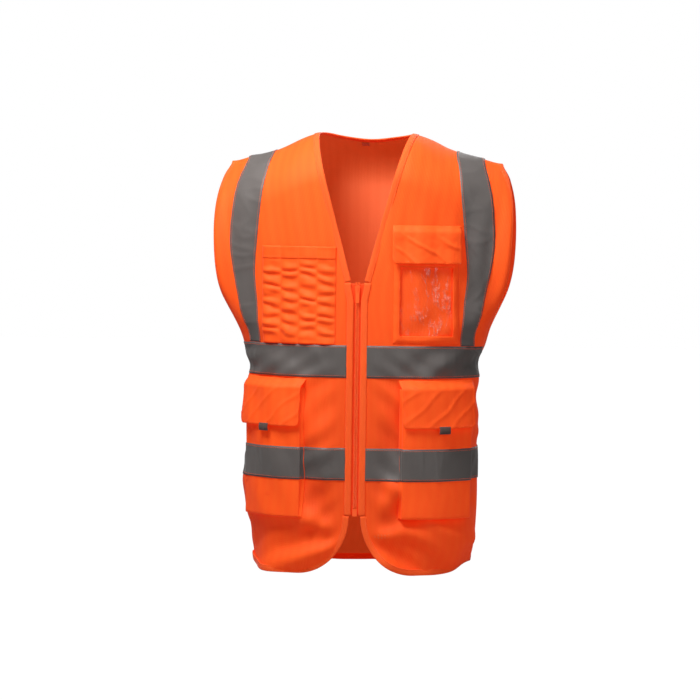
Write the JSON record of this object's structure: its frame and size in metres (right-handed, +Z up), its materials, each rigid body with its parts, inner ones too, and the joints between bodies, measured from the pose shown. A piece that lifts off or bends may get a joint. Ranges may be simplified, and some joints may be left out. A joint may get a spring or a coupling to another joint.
{
  "type": "high visibility vest",
  "caption": "Sleeveless orange safety waistcoat with grey reflective tape, a zip front, a pen pocket, a badge pocket with a clear window and flapped lower pockets.",
  "frame": {"origin": "midway between the points where the two shoulder seams meet the neckline, where the wearer's shoulders or a hanger carry the vest", "axes": "+X to the wearer's left, the front faces -Y, +Z up"},
  "size_m": [0.466, 0.2264, 0.6825],
  "materials": {
    "orange_knit": "fluorescent orange knitted polyester, matt",
    "orange_binding": "bright orange folded binding",
    "reflective_tape": "grey retroreflective cloth tape, satin",
    "zip_cloth": "orange woven zip tape",
    "zip_plastic": "orange moulded plastic",
    "hook_and_loop": "orange hook and loop strip",
    "clear_pvc": "clear soft vinyl, glossy and creased",
    "tab_webbing": "grey folded webbing",
    "label_cloth": "pale woven label, blank"
  },
  "bodies": {
    "vest": {"back_panel": "orange_knit", "neck_binding": "orange_binding", "hem_binding": "orange_binding", "chest_band_back": "reflective_tape", "waist_band_back": "reflective_tape", "zip_retainer_box": "zip_plastic", "zip_insertion_pin": "zip_plastic", "badge_pocket_frame": "orange_knit", "badge_window": "clear_pvc", "badge_hook": "hook_and_loop", "pen_pocket": "orange_knit", "pen_pocket_hem": "orange_knit", "neck_label": "label_cloth", "front_panel_right": "orange_knit", "armhole_binding_right": "orange_binding", "front_facing_right": "orange_binding", "zip_tape_right": "zip_cloth", "zip_teeth_right": "zip_plastic", "zip_top_stop_right": "zip_plastic", "shoulder_band_right": "reflective_tape", "chest_band_right": "reflective_tape", "waist_band_right": "reflective_tape", "pocket_bag_right": "orange_knit", "pocket_band_right": "reflective_tape", "pocket_hook_right": "hook_and_loop", "front_panel_left": "orange_knit", "armhole_binding_left": "orange_binding", "front_facing_left": "orange_binding", "zip_tape_left": "zip_cloth", "zip_teeth_left": "zip_plastic", "zip_top_stop_left": "zip_plastic", "shoulder_band_left": "reflective_tape", "chest_band_left": "reflective_tape", "waist_band_left": "reflective_tape", "pocket_bag_left": "orange_knit", "pocket_band_left": "reflective_tape", "pocket_hook_left": "hook_and_loop"},
    "zip_slider": {"zip_slider": "zip_plastic"},
    "zip_puller": {"zip_puller": "zip_plastic"},
    "pocket_flap_right": {"pocket_flap_right": "orange_knit", "pocket_loop_right": "hook_and_loop", "pocket_tab_right": "tab_webbing"},
    "pocket_flap_left": {"pocket_flap_left": "orange_knit", "pocket_loop_left": "hook_and_loop", "pocket_tab_left": "tab_webbing"},
    "badge_flap": {"badge_flap": "orange_knit", "badge_loop": "hook_and_loop"}
  },
  "joints": [
    {"name": "zip_slide", "type": "slide", "parent": "vest", "child": "zip_slider", "axis": [0, 0, -1], "range_m": [0, 0.33]},
    {"name": "zip_puller_swing", "type": "hinge", "parent": "zip_slider", "child": "zip_puller", "pos_m": [0, -0.1198, -0.23955], "axis": [-1, 0, 0], "range_deg": [0, 160]},
    {"name": "pocket_flap_right_lift", "type": "hinge", "parent": "vest", "child": "pocket_flap_right", "pos_m": [-0.13444, -0.08768, -0.38], "axis": [-0.8163, 0.5776, 0], "range_deg": [0, 125]},
    {"name": "pocket_flap_left_lift", "type": "hinge", "parent": "vest", "child": "pocket_flap_left", "pos_m": [0.12582, -0.09297, -0.38], "axis": [-0.8548, -0.519, 0], "range_deg": [0, 125]},
    {"name": "badge_flap_lift", "type": "hinge", "parent": "vest", "child": "badge_flap", "pos_m": [0.10447, -0.10652, -0.142], "axis": [-0.9587, -0.2843, 0], "range_deg": [0, 150]}
  ]
}
